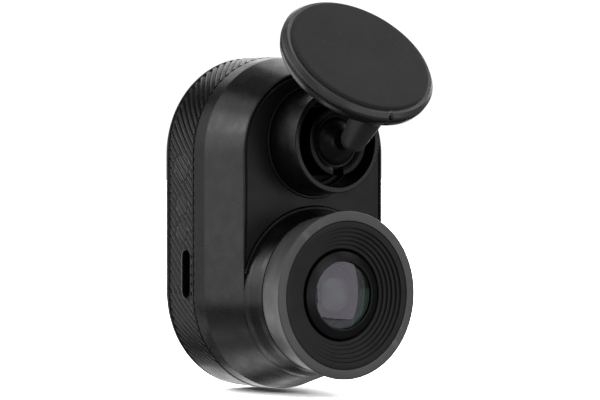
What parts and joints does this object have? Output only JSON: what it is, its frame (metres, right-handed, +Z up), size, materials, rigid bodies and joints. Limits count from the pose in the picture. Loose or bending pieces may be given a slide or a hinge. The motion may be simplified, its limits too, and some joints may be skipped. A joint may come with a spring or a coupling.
{
  "type": "dash camera",
  "caption": "Compact windscreen dash camera: stadium-shaped housing with a lens head, a ball-joint arm and a round adhesive mount.",
  "frame": {"origin": "centre of the adhesive pad's outer face, which sticks to the windscreen", "axes": "+Z up with the housing upright, -Y towards the road (the way the lens looks), +X to the right seen from the back"},
  "size_m": [0.0313, 0.0409, 0.0608],
  "materials": {
    "shell": "black moulded plastic, fine satin texture",
    "ribbed_shell": "black moulded plastic with fine diagonal ribs",
    "fascia": "black moulded plastic, matt face with polished edges",
    "lens_ring": "black plastic, fine eroded texture",
    "baffle": "deep matt black stepped plastic",
    "lens_glass": "coated optical glass with violet and green reflections",
    "filter_glass": "thin blue-green filter glass",
    "socket": "black engineering plastic, satin",
    "liner": "dark grey low-friction plastic",
    "arm": "black moulded plastic, satin",
    "adhesive": "dark grey adhesive foam, matt",
    "button": "black plastic, semi-gloss dished cap",
    "circuit_board": "green solder mask",
    "chip": "black moulded chip package",
    "capacitor": "dark shrink sleeve",
    "flex_circuit": "amber polyimide",
    "steel": "stamped bright steel",
    "aluminium": "plain stamped sheet",
    "gap_filler": "soft grey gap filler",
    "plunger": "natural nylon",
    "light_pipe": "clear moulded light guide",
    "card": "black plastic memory card"
  },
  "bodies": {
    "mount": {"adhesive_pad": "adhesive", "mount_plate": "arm", "ball_arm": "arm"},
    "liner": {"ball_liner": "liner"},
    "collet": {"socket_collet": "socket"},
    "camera": {"front_shell": "shell", "front_fascia": "fascia", "rear_shell": "ribbed_shell", "lens_head_ring": "lens_ring", "lens_baffle": "baffle", "lens_retainer": "baffle", "front_lens": "lens_glass", "lens_barrel": "baffle", "lens_element_middle": "lens_glass", "lens_element_rear": "lens_glass", "lens_holder": "baffle", "ir_filter": "filter_glass", "image_sensor": "chip", "sensor_board": "circuit_board", "sensor_flex": "flex_circuit", "main_board": "circuit_board", "board_screw_1": "steel", "board_screw_2": "steel", "board_screw_3": "steel", "board_screw_4": "steel", "processor": "chip", "memory_chip": "chip", "thermal_pad": "gap_filler", "heat_spreader": "aluminium", "supercapacitor": "capacitor", "antenna_strip": "steel", "power_port": "steel", "card_socket": "steel", "tact_switch": "steel", "light_pipe_1": "light_pipe", "light_pipe_2": "light_pipe", "status_led_1": "plunger", "status_led_2": "plunger", "microphone": "steel", "socket_ring": "socket"},
    "button": {"button_cap": "button"},
    "plunger": {"switch_plunger": "plunger"},
    "card": {"memory_card": "card"}
  },
  "joints": [
    {"name": "ball_tilt", "type": "hinge", "parent": "mount", "child": "liner", "pos_m": [0.00028, 0.00882, -0.01313], "axis": [1, 0, 0], "range_deg": [-25, 25]},
    {"name": "ball_pan", "type": "hinge", "parent": "liner", "child": "collet", "pos_m": [0.00028, 0.00882, -0.01313], "axis": [0, 0, 1], "range_deg": [-20, 20]},
    {"name": "ball_roll", "type": "hinge", "parent": "collet", "child": "camera", "pos_m": [0.00028, 0.00882, -0.01313], "axis": [0, 1, 0], "range_deg": [-30, 30]},
    {"name": "button_press", "type": "slide", "parent": "camera", "child": "button", "axis": [0, -1, 0], "range_m": [0, 0.0003], "stiffness_N_per_m": 900},
    {"name": "switch_press", "type": "slide", "parent": "camera", "child": "plunger", "axis": [0, -1, 0], "range_m": [0, 0.0003]},
    {"name": "card_slide", "type": "slide", "parent": "camera", "child": "card", "axis": [1, 0, 0], "range_m": [-0.0008, 0.012]}
  ],
  "couplings": [
    {"joint": "switch_press", "follows": "button_press", "ratio": 1}
  ]
}
